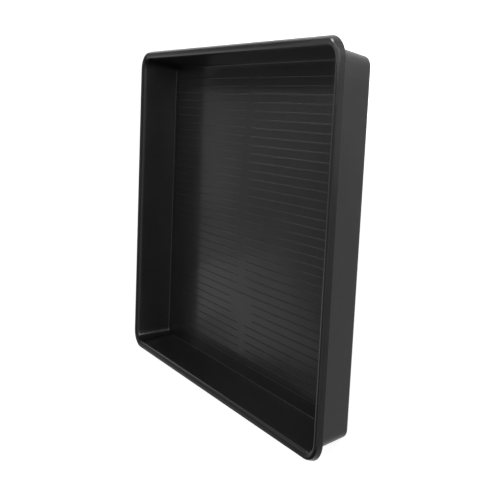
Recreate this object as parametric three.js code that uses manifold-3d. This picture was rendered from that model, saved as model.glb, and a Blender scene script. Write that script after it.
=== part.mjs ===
// Plant growing tray: a shallow rectangular tray of black polypropylene, moulded in one piece.
// The moulding is drawn as its named regions, which meet face to face: the domed, ridged floor, and round
// it the leaning walls, the flat rim that they turn out into, and the lip that hangs from the rim.
// Millimetres, +Z up. X runs along the ridges. The origin is under the middle of the base.
import * as THREE from "three";
import { mergeGeometries, mergeVertices } from "three/addons/utils/BufferGeometryUtils.js";
import Module from "manifold-3d";

// Overall size, over the rim
const trayLength = 600;
const trayWidth = 525;
const trayHeight = 62;

// Skin of the moulding
const wallThickness = 2;
const floorThickness = 2;

// Cross-section from the floor outwards: the wall's foot turns round the floor's corner,
// the wall leans out by its spread, and the rim covers the last stretch
const floorCornerRadius = 7;
const wallSpread = 12;
const rimWidth = 11;

// Roundings of the cross-section: inside the foot, over the wall's top edge, and over the rim's outer edge
const heelRadius = 2;
const shoulderRadius = 4;
const rollRadius = 5;

// Rim's top face to the lower edge of the lip
const lipHeight = 9;

// Rise of the floor's middle above its edges: the floor stands up in a shallow dome
const floorRise = 11;

// Fine ridges on the floor, in two halves either side of a bare strip along the middle
const ridgePitch = 12.54;
const ridgeWidth = 1.6;
const ridgeCrestWidth = 0.6;
const ridgeHeight = 0.4;
const ridgeMiddleGap = 20;
const ridgeEndGap = 12;
const ridgeSideGap = 18.5;

// Bare field among the ridges, on the -Y side of the middle; the row that bounds it there runs unbroken
const fieldLength = 66;
const fieldWidth = 37;
const fieldOffset = 132;

// Facets of a quarter turn round a tray corner, of one rounding in the cross-section,
// and of the domed floor each way
const cornerSteps = 8;
const roundingSteps = 5;
const domeSteps = 8;

// Corners of a surface closer than this are one corner
const mergeDistance = 1e-4;

// How far a ridge is rooted in the floor
const ridgeRoot = 0.6;

// Places that follow from the sizes. The cross-section is drawn as (r, z), with r measured outwards
// from the upright axis of a rounded tray corner.
const cornerRadius = floorCornerRadius + wallSpread + rimWidth;
const axisX = trayLength / 2 - cornerRadius;
const axisY = trayWidth / 2 - cornerRadius;
const lean = Math.atan2(wallSpread, trayHeight - floorThickness);
const kneeR = floorCornerRadius + wallSpread;
const outerFaceShift = wallThickness / Math.cos(lean);
const turn = Math.PI / 2 - lean;
const rollBottom = trayHeight - rollRadius;
const rimUnderside = trayHeight - wallThickness;
const rimInnerR = kneeR + shoulderRadius * Math.tan(turn / 2);

const blackPolypropylene = new THREE.MeshStandardMaterial({ color: 0x1c1d1e, roughness: 0.42, metalness: 0 });

// Points of an arc in the cross-section, in order from one angle to the other.
function arc(r, z, radius, from, to) {
  const points = [];
  for (let i = 0; i <= roundingSteps; i++) {
    const angle = from + ((to - from) * i) / roundingSteps;
    points.push(new THREE.Vector2(r + radius * Math.cos(angle), z + radius * Math.sin(angle)));
  }
  return points;
}

// The wall: from the floor's edge over the heel, up the leaning wall and over its shoulder.
function wallSection() {
  const outerHeelRadius = heelRadius + wallThickness;
  const outerFootR = floorCornerRadius - Math.tan(lean) * floorThickness + outerFaceShift;
  const outerHeelR = outerFootR - outerHeelRadius * Math.tan(turn / 2);
  const innerHeelR = floorCornerRadius - heelRadius * Math.tan(turn / 2);
  const shoulderZ = trayHeight - shoulderRadius;
  const facingIn = Math.PI - lean;
  const up = Math.PI / 2;
  return [
    new THREE.Vector2(0, 0),
    ...arc(outerHeelR, outerHeelRadius, outerHeelRadius, -up, -lean),
    ...arc(rimInnerR, shoulderZ, shoulderRadius - wallThickness, facingIn, up),
    ...arc(rimInnerR, shoulderZ, shoulderRadius, up, facingIn),
    ...arc(innerHeelR, floorThickness + heelRadius, heelRadius, -lean, -up),
    new THREE.Vector2(0, floorThickness),
  ];
}

// The rim: a flat strip from the shoulder outwards, rolled down at its outer edge.
function rimSection() {
  const rollR = cornerRadius - rollRadius;
  return [
    new THREE.Vector2(rimInnerR, rimUnderside),
    ...arc(rollR, rollBottom, rollRadius - wallThickness, Math.PI / 2, 0),
    ...arc(rollR, rollBottom, rollRadius, 0, Math.PI / 2),
    new THREE.Vector2(rimInnerR, trayHeight),
  ];
}

// The lip: the upright strip that hangs from the rolled edge.
function lipSection() {
  const lipBottom = trayHeight - lipHeight;
  return [
    new THREE.Vector2(cornerRadius - wallThickness, lipBottom),
    new THREE.Vector2(cornerRadius, lipBottom),
    new THREE.Vector2(cornerRadius, rollBottom),
    new THREE.Vector2(cornerRadius - wallThickness, rollBottom),
  ];
}

// One closed surface: positions only, shared vertices merged, collapsed triangles left out.
function closedSurface(...geometries) {
  const bare = geometries.map((geometry) => {
    const copy = geometry.index ? geometry.toNonIndexed() : geometry.clone();
    return copy.deleteAttribute("normal").deleteAttribute("uv");
  });
  const merged = mergeVertices(mergeGeometries(bare), mergeDistance);
  const corners = merged.index.array;
  const kept = [];
  for (let i = 0; i < corners.length; i += 3) {
    const [a, b, c] = corners.subarray(i, i + 3);
    if (a !== b && b !== c && c !== a) kept.push(a, b, c);
  }
  merged.setIndex(kept);
  return merged;
}

// A straight stretch of a cross-section, centred on Y, with r along X.
function straightRun(section, length) {
  const shape = new THREE.Shape(section);
  const solid = new THREE.ExtrudeGeometry(shape, { depth: length, bevelEnabled: false });
  return closedSurface(solid.rotateX(Math.PI / 2).translate(0, length / 2, 0));
}

// A quarter turn of a cross-section about Z, from +X to +Y. A section that leaves the axis is closed
// on itself first; one that starts and ends on the axis is not.
function quarterTurn(section) {
  const onAxis = section[0].x === 0;
  const outline = onAxis ? section : [...section, section[0]];
  const skin = new THREE.LatheGeometry(outline, cornerSteps, Math.PI / 2, Math.PI / 2).rotateX(Math.PI / 2);
  const firstEnd = new THREE.ShapeGeometry(new THREE.Shape(section)).rotateX(Math.PI / 2);
  const lastEnd = firstEnd.clone().rotateZ(Math.PI / 2);
  lastEnd.setIndex([...lastEnd.index.array].reverse());
  return closedSurface(skin, firstEnd, lastEnd);
}

const wasm = await Module();
wasm.setup();

function toSolid(geometry) {
  const surface = closedSurface(geometry);
  const vertProperties = surface.attributes.position.array;
  const triVerts = new Uint32Array(surface.index.array);
  return new wasm.Manifold(new wasm.Mesh({ numProp: 3, vertProperties, triVerts }));
}

function toGeometry(solid) {
  const { vertProperties, triVerts } = solid.getMesh();
  const geometry = new THREE.BufferGeometry();
  geometry.setAttribute("position", new THREE.BufferAttribute(vertProperties, 3));
  geometry.setIndex(new THREE.BufferAttribute(triVerts, 1));
  geometry.computeVertexNormals();
  return geometry;
}

// The floor's dome: every point is lifted, by nothing at the edges and by the full rise in the middle.
function domed(geometry) {
  const place = geometry.attributes.position;
  for (let i = 0; i < place.count; i++) {
    const alongX = Math.cos((Math.PI * place.getX(i)) / (2 * axisX));
    const alongY = Math.cos((Math.PI * place.getY(i)) / (2 * axisY));
    place.setZ(i, place.getZ(i) + floorRise * alongX * alongY);
  }
  return geometry;
}

// One ridge with sloping flanks, along the whole floor, standing in it.
function ridge(y) {
  const foot = ridgeWidth / 2;
  const crest = ridgeCrestWidth / 2;
  const section = new THREE.Shape([
    new THREE.Vector2(-foot, -ridgeRoot),
    new THREE.Vector2(foot, -ridgeRoot),
    new THREE.Vector2(foot, 0),
    new THREE.Vector2(crest, ridgeHeight),
    new THREE.Vector2(-crest, ridgeHeight),
    new THREE.Vector2(-foot, 0),
  ]);
  const bar = new THREE.ExtrudeGeometry(section, { depth: 2 * axisX, steps: domeSteps, bevelEnabled: false });
  bar.rotateX(Math.PI / 2).rotateZ(Math.PI / 2);
  return toSolid(domed(bar.translate(-axisX, y, floorThickness)));
}

// A block round the middle, across the whole tray, which the ridges are trimmed with.
function middleBlock(length) {
  return toSolid(new THREE.BoxGeometry(length, trayWidth, 2 * trayHeight));
}

// The floor: a domed panel up to the corner axes, with the ridges standing on it.
function floorPanel() {
  const panel = new THREE.BoxGeometry(2 * axisX, 2 * axisY, floorThickness, domeSteps, domeSteps);
  let solid = toSolid(domed(panel.translate(0, 0, floorThickness / 2)));
  const ridgedLength = middleBlock(2 * (axisX + floorCornerRadius - ridgeEndGap));
  const bareStrip = middleBlock(ridgeMiddleGap);
  const bareField = middleBlock(fieldLength);
  const ridgeSpan = 2 * (axisY + floorCornerRadius - ridgeSideGap);
  const pitches = Math.floor(ridgeSpan / ridgePitch);
  const fieldEdgeY = fieldWidth / 2 - fieldOffset;
  for (let row = 0; row <= pitches; row++) {
    const y = (pitches / 2 - row) * ridgePitch;
    const inField = Math.abs(y + fieldOffset) < fieldWidth / 2;
    const boundsField = y >= fieldEdgeY && y < fieldEdgeY + ridgePitch;
    const bar = ridge(y).intersect(ridgedLength);
    solid = solid.add(boundsField ? bar : bar.subtract(inField ? bareField : bareStrip));
  }
  return toGeometry(solid);
}

const tray = new THREE.Group();

function addPiece(name, geometry, x, y, quarterTurns) {
  const piece = new THREE.Mesh(geometry, blackPolypropylene);
  piece.name = name;
  piece.position.set(x, y, 0);
  piece.rotation.z = (quarterTurns * Math.PI) / 2;
  tray.add(piece);
}

addPiece("floor_panel", floorPanel(), 0, 0, 0);

// Straight stretches on the four sides, then the four rounded corners between them
const rings = [
  ["wall", wallSection()],
  ["rim", rimSection()],
  ["lip", lipSection()],
];
const sides = [
  ["right", axisX, 0, 0, 2 * axisY],
  ["back", 0, axisY, 1, 2 * axisX],
  ["left", -axisX, 0, 2, 2 * axisY],
  ["front", 0, -axisY, 3, 2 * axisX],
];
const corners = [
  ["back_right", axisX, axisY, 0],
  ["back_left", -axisX, axisY, 1],
  ["front_left", -axisX, -axisY, 2],
  ["front_right", axisX, -axisY, 3],
];
for (const [ring, section] of rings) {
  for (const [side, x, y, quarterTurns, length] of sides) {
    addPiece(`${ring}_${side}`, straightRun(section, length), x, y, quarterTurns);
  }
  for (const [corner, x, y, quarterTurns] of corners) {
    addPiece(`${ring}_corner_${corner}`, quarterTurn(section), x, y, quarterTurns);
  }
}

export default tray;
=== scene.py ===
import math

import bpy
import bmesh
from mathutils import Matrix, Vector


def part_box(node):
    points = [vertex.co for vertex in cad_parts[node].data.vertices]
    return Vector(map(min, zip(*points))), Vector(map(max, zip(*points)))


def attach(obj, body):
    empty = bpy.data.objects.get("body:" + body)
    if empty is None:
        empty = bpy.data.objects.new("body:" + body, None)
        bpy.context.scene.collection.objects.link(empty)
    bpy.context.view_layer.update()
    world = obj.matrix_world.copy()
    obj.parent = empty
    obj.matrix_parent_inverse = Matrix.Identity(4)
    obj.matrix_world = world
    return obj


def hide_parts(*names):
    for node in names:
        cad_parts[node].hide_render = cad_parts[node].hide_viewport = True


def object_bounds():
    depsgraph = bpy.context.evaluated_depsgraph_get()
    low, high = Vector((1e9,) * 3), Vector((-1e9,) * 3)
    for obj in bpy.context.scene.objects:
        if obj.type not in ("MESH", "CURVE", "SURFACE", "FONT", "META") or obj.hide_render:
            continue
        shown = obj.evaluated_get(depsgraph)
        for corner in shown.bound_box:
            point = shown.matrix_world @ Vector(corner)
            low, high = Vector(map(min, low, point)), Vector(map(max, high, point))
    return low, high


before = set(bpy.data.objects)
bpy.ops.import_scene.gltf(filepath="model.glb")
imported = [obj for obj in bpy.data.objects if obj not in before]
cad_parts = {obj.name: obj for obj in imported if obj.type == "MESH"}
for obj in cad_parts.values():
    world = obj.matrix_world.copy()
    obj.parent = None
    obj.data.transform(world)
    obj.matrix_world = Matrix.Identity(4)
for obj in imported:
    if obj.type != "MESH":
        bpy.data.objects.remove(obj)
cad_low, cad_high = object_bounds()

# Camera
# The tray is seen from its +X side, a little above the rim, with the picture turned so that +Y is up.
# The place, the aim and the focal length were solved from the straight edges of the rim, floor and base.
CAMERA_PLACE = Vector((1.1192, 0.1708, 0.6383))
CAMERA_AIM = Vector((0.0065, -0.0157, 0.0020))
CAMERA_UP = Vector((-0.1472, 0.9886, -0.0323))
CAMERA_LENS_MM = 61.49
CAMERA_SHIFT_Y = -0.0312
CAMERA_REACH = 50

backwards = (CAMERA_PLACE - CAMERA_AIM).normalized()
rightwards = CAMERA_UP.cross(backwards).normalized()
upwards = backwards.cross(rightwards)
camera_data = bpy.data.cameras.new("camera")
camera_data.lens = CAMERA_LENS_MM
camera_data.shift_y = CAMERA_SHIFT_Y
camera_data.clip_end = CAMERA_REACH
camera = bpy.data.objects.new("camera", camera_data)
camera_turn = Matrix((rightwards, upwards, backwards)).transposed().to_4x4()
camera.matrix_world = Matrix.Translation(CAMERA_PLACE) @ camera_turn
bpy.context.scene.collection.objects.link(camera)
bpy.context.scene.camera = camera
bpy.context.scene.view_settings.view_transform = "Standard"

# Tray moulding
# One injection-moulded skin, 2 mm thick: ridged floor, leaning walls, sloping rim, rolled edge, hanging lip.
# Its cross-section is (r, z), with r measured outwards from the upright axis of a rounded tray corner,
# and it is swept round the floor, so the corners come out as cones that narrow towards the floor.
MM = 0.001
HEEL_RADIUS = 2 * MM
SHOULDER_RADIUS = 8 * MM
ROLL_RADIUS = 3.5 * MM
FLOOR_CORNER_RADIUS = 7 * MM
WALL_SPREAD = 10.8 * MM
FOOT_CORNER_EXTRA = 4.5 * MM
LIP_EDGE_RADIUS = 0.6 * MM
LIP_FLARE = math.radians(18)
RIM_SLOPE = math.radians(6)
ROUNDING_STEPS = 8
CORNER_STEPS = 16
WALL_STEPS = 6

wall_low, wall_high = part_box("wall_right")
lip_low, lip_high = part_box("lip_right")
axis_x = wall_low[0]
axis_y = wall_high[1]
tray_top = cad_high[2]
corner_radius = cad_high[0] - axis_x
skin = lip_high[0] - lip_low[0]
lip_bottom = lip_low[2]
floor_top = skin

# The wall leans out by its spread, from the floor's edge to the knee under the rounded shoulder.
# A rounding of the section there starts this share of its radius before the corner that it rounds.
lean = math.atan2(WALL_SPREAD, tray_top - floor_top)
tangent_share = math.tan((math.pi / 2 - lean) / 2)
rim_inner_r = FLOOR_CORNER_RADIUS + WALL_SPREAD + SHOULDER_RADIUS * tangent_share


def rounding(r, z, radius, start, end):
    angles = [start + (end - start) * i / ROUNDING_STEPS for i in range(ROUNDING_STEPS + 1)]
    return [(r + radius * math.cos(a), z + radius * math.sin(a)) for a in angles]


def straight(start, end, steps):
    return [tuple(s + (e - s) * i / steps for s, e in zip(start, end)) for i in range(1, steps)]


# The section runs over the tray's inside from heel to lip, and back along its outside to the foot.
# The roll's middle lies where the line along the rim meets the line along the flared lip.
def cross_section():
    up = math.pi / 2
    off_rim = up - RIM_SLOPE
    under_lip = LIP_FLARE - up
    behind_lip = LIP_FLARE - 2 * up
    facing_in = math.pi - lean
    out, rise = math.cos(LIP_FLARE), math.sin(LIP_FLARE)
    down, over = math.sin(RIM_SLOPE), math.cos(RIM_SLOPE)
    shoulder_z = tray_top - SHOULDER_RADIUS
    lip_r = corner_radius - LIP_EDGE_RADIUS
    lip_z = lip_bottom + LIP_EDGE_RADIUS
    across = skin - 2 * LIP_EDGE_RADIUS
    inward = ROLL_RADIUS - LIP_EDGE_RADIUS
    rim_line = rim_inner_r * down + shoulder_z * over + SHOULDER_RADIUS - ROLL_RADIUS
    lip_line = lip_r - inward * out + (lip_z - inward * rise) * rise / out
    roll_z = (rim_line - lip_line * down) / (over - down * rise / out)
    roll_r = lip_line - roll_z * rise / out
    heel_r = FLOOR_CORNER_RADIUS - HEEL_RADIUS * tangent_share
    outer_heel = HEEL_RADIUS + skin
    outer_foot_r = FLOOR_CORNER_RADIUS - math.tan(lean) * floor_top + skin / math.cos(lean)

    heel = rounding(heel_r, floor_top + HEEL_RADIUS, HEEL_RADIUS, -up, -lean)
    shoulder = rounding(rim_inner_r, shoulder_z, SHOULDER_RADIUS, facing_in, up)
    half_way = ROUNDING_STEPS // 2
    rim_start = rounding(rim_inner_r, shoulder_z, SHOULDER_RADIUS, up, off_rim)[half_way::half_way]
    roll = rounding(roll_r, roll_z, ROLL_RADIUS, off_rim, LIP_FLARE)
    lip = rounding(lip_r, lip_z, LIP_EDGE_RADIUS, LIP_FLARE, under_lip)
    lip += rounding(lip_r - across * out, lip_z - across * rise, LIP_EDGE_RADIUS, under_lip, behind_lip)
    under_roll = rounding(roll_r, roll_z, ROLL_RADIUS - skin, LIP_FLARE, off_rim)
    under_shoulder = rounding(rim_inner_r, shoulder_z, SHOULDER_RADIUS - skin, off_rim, facing_in)
    under_heel = rounding(outer_foot_r - outer_heel * tangent_share, outer_heel, outer_heel, -lean, -up)
    inside = heel + straight(heel[-1], shoulder[0], WALL_STEPS) + shoulder
    over_rim = rim_start + roll + lip + under_roll
    outside = under_shoulder + straight(under_shoulder[-1], under_heel[0], WALL_STEPS) + under_heel
    return inside + over_rim + outside


# The floor's fine ridges lie along X, in two halves either side of a bare strip along the middle.
# One row runs unbroken above a small bare field, and one near the back stops short for a few millimetres,
# where a mark in the mould filled it. The floor stands up in a shallow dome.
RIDGE_PITCH = 12.54 * MM
RIDGE_ROWS = 36
RIDGE_HALF_WIDTH = 1.1 * MM
RIDGE_HEIGHT = 0.32 * MM
RIDGE_PROFILE = [(0, 1), (0.25, 1), (0.35, 0.93), (0.92, 0.07), (1, 0)]
RIDGE_END_TAPER = 1.4 * MM
RIDGE_END_GAP = 12 * MM
MIDDLE_GAP = 20 * MM
FIELD_LENGTH = 66 * MM
FIELD_WIDTH = 37 * MM
FIELD_Y = -132 * MM
FLOOR_RISE = 11 * MM
BREAK_ROW = 32
BREAK_X = 143 * MM
BREAK_LENGTH = 12 * MM
ridge_end_x = axis_x + FLOOR_CORNER_RADIUS - RIDGE_END_GAP
ridge_ys = [(i - (RIDGE_ROWS - 1) / 2) * RIDGE_PITCH for i in range(RIDGE_ROWS)]


def dome(x, y):
    along_x = math.cos(math.pi / 2 * min(abs(x) / axis_x, 1))
    along_y = math.cos(math.pi / 2 * min(abs(y) / axis_y, 1))
    return FLOOR_RISE * along_x * along_y


def ridge_start(row_y):
    if abs(row_y - FIELD_Y) < FIELD_WIDTH / 2:
        return FIELD_LENGTH / 2
    above_field = row_y - FIELD_Y - FIELD_WIDTH / 2
    return 0 if 0 <= above_field < RIDGE_PITCH else MIDDLE_GAP / 2


def ridge_rise(x, y):
    row_y = min(ridge_ys, key=lambda ridge_y: abs(ridge_y - y))
    off = abs(y - row_y) / RIDGE_HALF_WIDTH
    height = 0
    for (off0, height0), (off1, height1) in zip(RIDGE_PROFILE, RIDGE_PROFILE[1:]):
        if off0 <= off <= off1:
            height = height0 + (height1 - height0) * (off - off0) / (off1 - off0)
    start = ridge_start(row_y)
    broken = row_y == ridge_ys[BREAK_ROW]
    to_start = abs(x) - start if start else ridge_end_x
    to_break = abs(x - BREAK_X) - BREAK_LENGTH / 2 if broken else ridge_end_x
    inside = min(to_start, to_break, ridge_end_x - abs(x)) / RIDGE_END_TAPER
    taper = min(max(inside, 0), 1)
    return RIDGE_HEIGHT * height * math.sin(taper * math.pi / 2)


# Lines of the floor's grid: fine across each ridge and at each ridge end, coarse elsewhere
COARSE_STEP = 22 * MM
COARSE_LINES = 10
BESIDE_RIDGE = 1.2
LINES_OFF_RIDGE = [off for off, _ in RIDGE_PROFILE[1:]] + [BESIDE_RIDGE]
LINES_ACROSS_RIDGE = [side * off for side in (-1, 1) for off in LINES_OFF_RIDGE]
LINES_AT_RIDGE_END = [-0.25, 0, 0.35, 1]
between_ys = [(a + b) / 2 for a, b in zip(ridge_ys, ridge_ys[1:])]
across_ys = [y + step * RIDGE_HALF_WIDTH for y in ridge_ys for step in LINES_ACROSS_RIDGE]
grid_ys = sorted([-axis_y] + between_ys + across_ys + [axis_y])
coarse_xs = [FIELD_LENGTH / 2 + COARSE_STEP * i for i in range(1, COARSE_LINES + 1)]
start_xs = [gap / 2 + step * RIDGE_END_TAPER
            for gap in (MIDDLE_GAP, FIELD_LENGTH) for step in LINES_AT_RIDGE_END]
end_xs = [ridge_end_x - step * RIDGE_END_TAPER for step in LINES_AT_RIDGE_END]
break_xs = [BREAK_X + side * (BREAK_LENGTH / 2 + step * RIDGE_END_TAPER)
            for side in (-1, 1) for step in LINES_AT_RIDGE_END]
half_xs = coarse_xs + start_xs + end_xs + break_xs + [axis_x]
grid_xs = sorted([-x for x in half_xs] + [0] + half_xs)

# Stations along the straight sides, where the swept section meets the floor's grid
ROWS_PER_STATION = 5
LINES_PER_STATION = 2
station_ys = between_ys[ROWS_PER_STATION // 2::ROWS_PER_STATION]
station_xs = coarse_xs[LINES_PER_STATION // 2::LINES_PER_STATION]
side_ys = [-axis_y] + station_ys + [axis_y]
side_xs = [-axis_x] + [-x for x in reversed(station_xs)] + [0] + station_xs + [axis_x]
corner_angles = [math.pi / 2 * i / CORNER_STEPS for i in range(CORNER_STEPS + 1)]

moulding = bmesh.new()


def skin_face(points):
    moulding.faces.new([moulding.verts.new(point) for point in points])


# The four sides are numbered by quarter turns from +X
def turned(turn, along, across):
    return [(along, across), (-across, along), (-along, -across), (across, -along)][turn]


def side_of(turn):
    if turn % 2 == 0:
        return axis_x, axis_y, side_ys, grid_ys
    return axis_y, axis_x, side_xs, grid_xs


# The corners are rounder at the foot than the wall's lean alone would make them
def foot_extra(z):
    return FOOT_CORNER_EXTRA * (1 - z / tray_top)


def ring_side(turn, r, z):
    reach, half, stations, _ = side_of(turn)
    end = half - foot_extra(z)
    return [turned(turn, reach + r, max(-end, min(end, station))) for station in stations]


def ring_corner(turn, r, z):
    reach, half, _, _ = side_of(turn)
    extra = foot_extra(z)
    points = [((r + extra) * math.cos(a) - extra, (r + extra) * math.sin(a) - extra) for a in corner_angles]
    return [turned(turn, reach + out, half + across) for out, across in points]


def ring(r, z):
    points = []
    for turn in range(4):
        points += ring_side(turn, r, z) + ring_corner(turn, r, z)[1:-1]
    return [(x, y, z) for x, y in points]


def floor_point(x, y):
    return x, y, floor_top + dome(x, y) + ridge_rise(x, y)


def base_point(x, y):
    return x, y, dome(x, y)


section = cross_section()
rings = [ring(r, z) for r, z in section]
for inner, outer in zip(rings, rings[1:]):
    for k in range(len(inner)):
        skin_face([inner[k - 1], outer[k - 1], outer[k], inner[k]])
for x0, x1 in zip(grid_xs, grid_xs[1:]):
    for y0, y1 in zip(grid_ys, grid_ys[1:]):
        skin_face([floor_point(x, y) for x, y in ((x0, y0), (x1, y0), (x1, y1), (x0, y1))])
for x0, x1 in zip(side_xs, side_xs[1:]):
    for y0, y1 in zip(side_ys, side_ys[1:]):
        skin_face([base_point(x, y) for x, y in ((x0, y0), (x0, y1), (x1, y1), (x1, y0))])

# The flat border between the dome and the heel, inside and underneath:
# strips along the sides and sectors in the corners
for turn in range(4):
    reach, half, stations, grid = side_of(turn)
    inside = ring_side(turn, *section[0])
    beneath = ring_side(turn, *section[-1])
    for k in range(len(stations) - 1):
        edge = [turned(turn, reach, s) for s in reversed(grid) if stations[k] <= s <= stations[k + 1]]
        skin_face([floor_point(*point) for point in inside[k:k + 2] + edge])
        skin_face([base_point(*point) for point in [edge[-1], edge[0]] + beneath[k:k + 2][::-1]])
    axis_point = turned(turn, reach, half)
    skin_face([floor_point(*point) for point in [axis_point] + ring_corner(turn, *section[0])])
    skin_face([base_point(*point) for point in [axis_point] + ring_corner(turn, *section[-1])[::-1]])

# Faces that share a corner are joined there
SAME_CORNER = 0.002 * MM
bmesh.ops.remove_doubles(moulding, verts=moulding.verts, dist=SAME_CORNER)
for face in moulding.faces:
    face.smooth = True
tray_mesh = bpy.data.meshes.new("tray_moulding")
moulding.to_mesh(tray_mesh)
moulding.free()
tray = bpy.data.objects.new("tray_moulding", tray_mesh)
bpy.context.scene.collection.objects.link(tray)
tray.modifiers.new("flat faces stay flat", "WEIGHTED_NORMAL")


# Moulded polypropylene, coloured through with carbon black. The mould's fine texture leaves it satin,
# so it mirrors the room softly at a slant, with faint cloudiness where the melt cooled at different speeds.
def linear(hex_colour):
    channels = [int(hex_colour[i:i + 2], 16) / 255 for i in (1, 3, 5)]
    return [c / 12.92 if c <= 0.04045 else ((c + 0.055) / 1.055) ** 2.4 for c in channels] + [1]


def add_node(tree, kind, links=None, **settings):
    node = tree.nodes.new(kind)
    for name, value in settings.items():
        setattr(node, name, value)
    for socket, value in (links or {}).items():
        if isinstance(value, bpy.types.NodeSocket):
            tree.links.new(value, node.inputs[socket])
        else:
            node.inputs[socket].default_value = value
    return node


POLYPROPYLENE_DARK = linear("#0e0e0f")
POLYPROPYLENE_LIGHT = linear("#232324")
POLYPROPYLENE_IOR = 1.49
SPECULAR_LEVEL = 0.2
ROUGHNESS_LEAST = 0.38
ROUGHNESS_MOST = 0.46
SKIN_GLOSS = 0.6
SKIN_ROUGHNESS = 0.14
GRAIN_WIDTH = 0.6 * MM
GRAIN_DEPTH = 0.012 * MM
GRAIN_DETAIL = 2
CLOUD_WIDTH = 70 * MM
CLOUD_DETAIL = 6
CLOUD_RAGGEDNESS = 0.65
WAVE_WIDTH = 38 * MM
WAVE_DEPTH = 0.16 * MM
WAVE_DETAIL = 1

polypropylene = bpy.data.materials.new("black_polypropylene_satin")
polypropylene.use_nodes = True
tree = polypropylene.node_tree
shader = tree.nodes["Principled BSDF"]
shader.inputs["IOR"].default_value = POLYPROPYLENE_IOR
shader.inputs["Specular IOR Level"].default_value = SPECULAR_LEVEL
shader.inputs["Coat Weight"].default_value = SKIN_GLOSS
shader.inputs["Coat Roughness"].default_value = SKIN_ROUGHNESS
shader.inputs["Coat IOR"].default_value = POLYPROPYLENE_IOR
place = add_node(tree, "ShaderNodeTexCoord").outputs["Object"]
grain = add_node(tree, "ShaderNodeTexNoise",
                 {"Vector": place, "Scale": 1 / GRAIN_WIDTH, "Detail": GRAIN_DETAIL}).outputs["Fac"]
clouds = add_node(tree, "ShaderNodeTexNoise",
                  {"Vector": place, "Scale": 1 / CLOUD_WIDTH, "Detail": CLOUD_DETAIL,
                   "Roughness": CLOUD_RAGGEDNESS}).outputs["Fac"]
waves = add_node(tree, "ShaderNodeTexNoise",
                 {"Vector": place, "Scale": 1 / WAVE_WIDTH, "Detail": WAVE_DETAIL}).outputs["Fac"]
roughness = add_node(tree, "ShaderNodeMapRange",
                     {"Value": clouds, "To Min": ROUGHNESS_LEAST, "To Max": ROUGHNESS_MOST})
tint = add_node(tree, "ShaderNodeMix",
                {"Factor": clouds, "A": POLYPROPYLENE_DARK, "B": POLYPROPYLENE_LIGHT}, data_type="RGBA")
wavy = add_node(tree, "ShaderNodeBump", {"Height": waves, "Distance": WAVE_DEPTH}).outputs["Normal"]
grainy = add_node(tree, "ShaderNodeBump", {"Height": grain, "Distance": GRAIN_DEPTH, "Normal": wavy})
tree.links.new(tint.outputs["Result"], shader.inputs["Base Color"])
tree.links.new(roughness.outputs["Result"], shader.inputs["Roughness"])
tree.links.new(grainy.outputs["Normal"], shader.inputs["Normal"])
tree.links.new(wavy, shader.inputs["Coat Normal"])

tray_mesh.materials.append(polypropylene)
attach(tray, "root")
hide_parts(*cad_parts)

# Studio floor
# A wide pale sheet under the tray. Seen by the eye or mirrored in the plastic it is white paper,
# and it keeps the tray's soft shadow.
FLOOR_HALF = 30
FLOOR_BELOW_TRAY = 0.2 * MM
PAPER_COLOUR = linear("#c0c0c0")
PAPER_ROUGHNESS = 0.9
PAPER_GLOW_SEEN = 0.88
PAPER_GLOW_MIRRORED = 0.57
WHITE = linear("#ffffff")

floor_mesh = bpy.data.meshes.new("studio_floor")
floor_corners = [(-FLOOR_HALF, -FLOOR_HALF, 0), (FLOOR_HALF, -FLOOR_HALF, 0),
                 (FLOOR_HALF, FLOOR_HALF, 0), (-FLOOR_HALF, FLOOR_HALF, 0)]
floor_mesh.from_pydata(floor_corners, [], [(0, 1, 2, 3)])
studio_floor = bpy.data.objects.new("studio_floor", floor_mesh)
bpy.context.scene.collection.objects.link(studio_floor)
studio_floor.location.z = -FLOOR_BELOW_TRAY
paper = bpy.data.materials.new("white_paper")
paper.use_nodes = True
tree = paper.node_tree
shader = tree.nodes["Principled BSDF"]
shader.inputs["Base Color"].default_value = PAPER_COLOUR
shader.inputs["Roughness"].default_value = PAPER_ROUGHNESS
shader.inputs["Emission Color"].default_value = WHITE
rays = add_node(tree, "ShaderNodeLightPath").outputs
bounced = add_node(tree, "ShaderNodeMath", {0: rays["Is Glossy Ray"], 1: rays["Is Transmission Ray"]},
                   operation="MAXIMUM").outputs[0]
mirrored = add_node(tree, "ShaderNodeMath", {0: bounced, 1: PAPER_GLOW_MIRRORED},
                    operation="MULTIPLY").outputs[0]
seen = add_node(tree, "ShaderNodeMath", {0: rays["Is Camera Ray"], 1: PAPER_GLOW_SEEN},
                operation="MULTIPLY").outputs[0]
glow = add_node(tree, "ShaderNodeMath", {0: seen, 1: mirrored}, operation="MAXIMUM").outputs[0]
tree.links.new(glow, shader.inputs["Emission Strength"])
floor_mesh.materials.append(paper)

# Studio light
# Two strip lamps beyond the back wall throw its shadow on the floor, and two small ones beside them pick out
# the back right corner. Soft panels stand round the tray, brightest on the camera's side, with dim cards
# beyond the left wall that the glossy floor mirrors.
PANEL_DISTANCE = 2.5
LEFT_LAMPS_X = -1.1
RIGHT_LAMPS_X = 0.9
BACK_LAMPS_Y = 1.529
BACK_LAMPS_Z = 1.494
STRIP_LENGTH = 0.4
STRIP_WIDTH = 0.03
STRIP_AIM = Vector((0.05, 0.17, 0))
STRIP_SPREAD = math.radians(12)
SPOT_SIZE = 0.1
SPOT_INSET = 10 * MM
SPOT_AIM = Vector((cad_high[0] - SPOT_INSET, cad_high[1] - SPOT_INSET, tray_top))
SPOT_SPREAD = math.radians(4)
CEILING_X = 0.2
CEILING_Z = 2.2
CEILING_LENGTH = 4.2
ROOM_LIGHT = 0.02
X_AXIS = Vector((1, 0, 0))
Z_AXIS = Vector((0, 0, 1))
ORIGIN = Vector((0, 0, 0))


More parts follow.
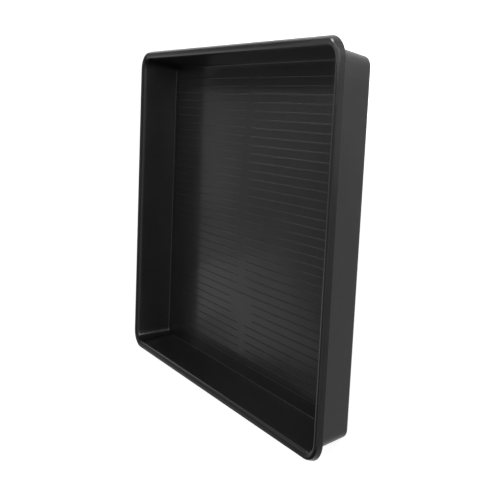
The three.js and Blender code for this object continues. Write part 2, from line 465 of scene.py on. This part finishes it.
def add_lamp(name, place, aim, along, length, width, brightness):
    data = bpy.data.lights.new(name, "AREA")
    data.shape = "RECTANGLE"
    data.size = length
    data.size_y = width
    data.energy = brightness * math.pi * length * width
    lamp = bpy.data.objects.new(name, data)
    behind = (place - aim).normalized()
    sideways = (along - behind * along.dot(behind)).normalized()
    turn = Matrix((sideways, behind.cross(sideways), behind)).transposed().to_4x4()
    lamp.matrix_world = Matrix.Translation(place) @ turn
    lamp.visible_camera = False
    bpy.context.scene.collection.objects.link(lamp)
    return data


def add_strip(name, x, brightness):
    place = Vector((x, BACK_LAMPS_Y, BACK_LAMPS_Z))
    strip = add_lamp(name, place, STRIP_AIM, X_AXIS, STRIP_LENGTH, STRIP_WIDTH, brightness)
    strip.spread = STRIP_SPREAD


def add_corner_spot(name, x, brightness):
    place = Vector((x, BACK_LAMPS_Y, BACK_LAMPS_Z))
    spot = add_lamp(name, place, SPOT_AIM, X_AXIS, SPOT_SIZE, SPOT_SIZE, brightness)
    spot.spread = SPOT_SPREAD


def add_ceiling(name, y, width, brightness):
    place = Vector((CEILING_X, y, CEILING_Z))
    add_lamp(name, place, Vector((CEILING_X, y, 0)), X_AXIS, CEILING_LENGTH, width, brightness)


# A panel spans two azimuths and two elevations, in degrees, as seen from the middle of the tray
def add_panel(name, azimuths, elevations, brightness):
    azimuth, across = math.radians(sum(azimuths) / 2), math.radians(azimuths[1] - azimuths[0])
    elevation, high = math.radians(sum(elevations) / 2), math.radians(elevations[1] - elevations[0])
    flat = Vector((math.cos(azimuth), math.sin(azimuth), 0))
    place = PANEL_DISTANCE * (flat * math.cos(elevation) + Z_AXIS * math.sin(elevation))
    length = PANEL_DISTANCE * across * math.cos(elevation)
    add_lamp(name, place, ORIGIN, Z_AXIS.cross(flat), length, PANEL_DISTANCE * high, brightness)


add_strip("strip_lamp_left", LEFT_LAMPS_X, 3.6)
add_strip("strip_lamp_right", RIGHT_LAMPS_X, 5)
add_corner_spot("corner_spot_left", LEFT_LAMPS_X, 1.3)
add_corner_spot("corner_spot_right", RIGHT_LAMPS_X, 1.3)
add_ceiling("ceiling", 0.2, 2.4, 0.22)
add_ceiling("ceiling_back", 0.65, 1.3, 0.2)
add_panel("key_panel", (26, 58), (14, 48), 4)
add_panel("key_panel_side", (10, 26), (24, 48), 2.2)
add_panel("fill_panel", (300, 370), (20, 65), 0.5)
add_panel("front_card", (325, 375), (1, 20), 0.28)
add_panel("side_card", (0, 22), (2, 22), 0.28)
add_panel("lip_card", (357, 372), (1, 9), 0.45)
add_panel("corner_lamp", (36, 50), (3, 9), 8)
add_panel("corner_glow", (134, 152), (1, 10), 1)
add_panel("ridge_card", (144, 158), (20, 34), 0.65)
add_panel("ridge_card_high", (150, 162), (34, 43), 0.95)
add_panel("ridge_card_left", (158, 166), (16, 28), 0.25)
add_panel("corner_card", (152, 170), (1, 13), 1.2)
add_panel("rim_card", (171, 190), (3, 17), 0.4)
add_panel("low_card", (190, 213), (1, 17), 0.6)
add_panel("left_panel", (170, 209), (17, 43.5), 0.16)
add_panel("left_panel_low", (170, 201), (17, 25), 0.07)
add_panel("left_panel_back", (170, 186), (17, 27), 0.08)
add_panel("left_panel_middle", (188, 209), (17, 43.5), 0.05)
add_panel("left_panel_front", (194, 208), (23.5, 38), 0.22)
add_panel("left_panel_front_low", (194, 201), (17, 23.5), 0.18)
add_panel("left_panel_front_high", (199, 210), (27, 42), 0.06)
add_panel("left_panel_end", (212, 232), (14, 40), 0.3)
add_panel("left_panel_high", (165, 200), (47, 65), 0.6)

# The room beyond is white to the eye, and adds almost no light
world = bpy.data.worlds.new("room")
world.use_nodes = True
tree = world.node_tree
sky = tree.nodes["Background"]
sky.inputs["Color"].default_value = WHITE
seen = add_node(tree, "ShaderNodeLightPath").outputs["Is Camera Ray"]
strength = add_node(tree, "ShaderNodeMath", {0: seen, 1: ROOM_LIGHT}, operation="MAXIMUM").outputs[0]
tree.links.new(strength, sky.inputs["Strength"])
bpy.context.scene.world = world
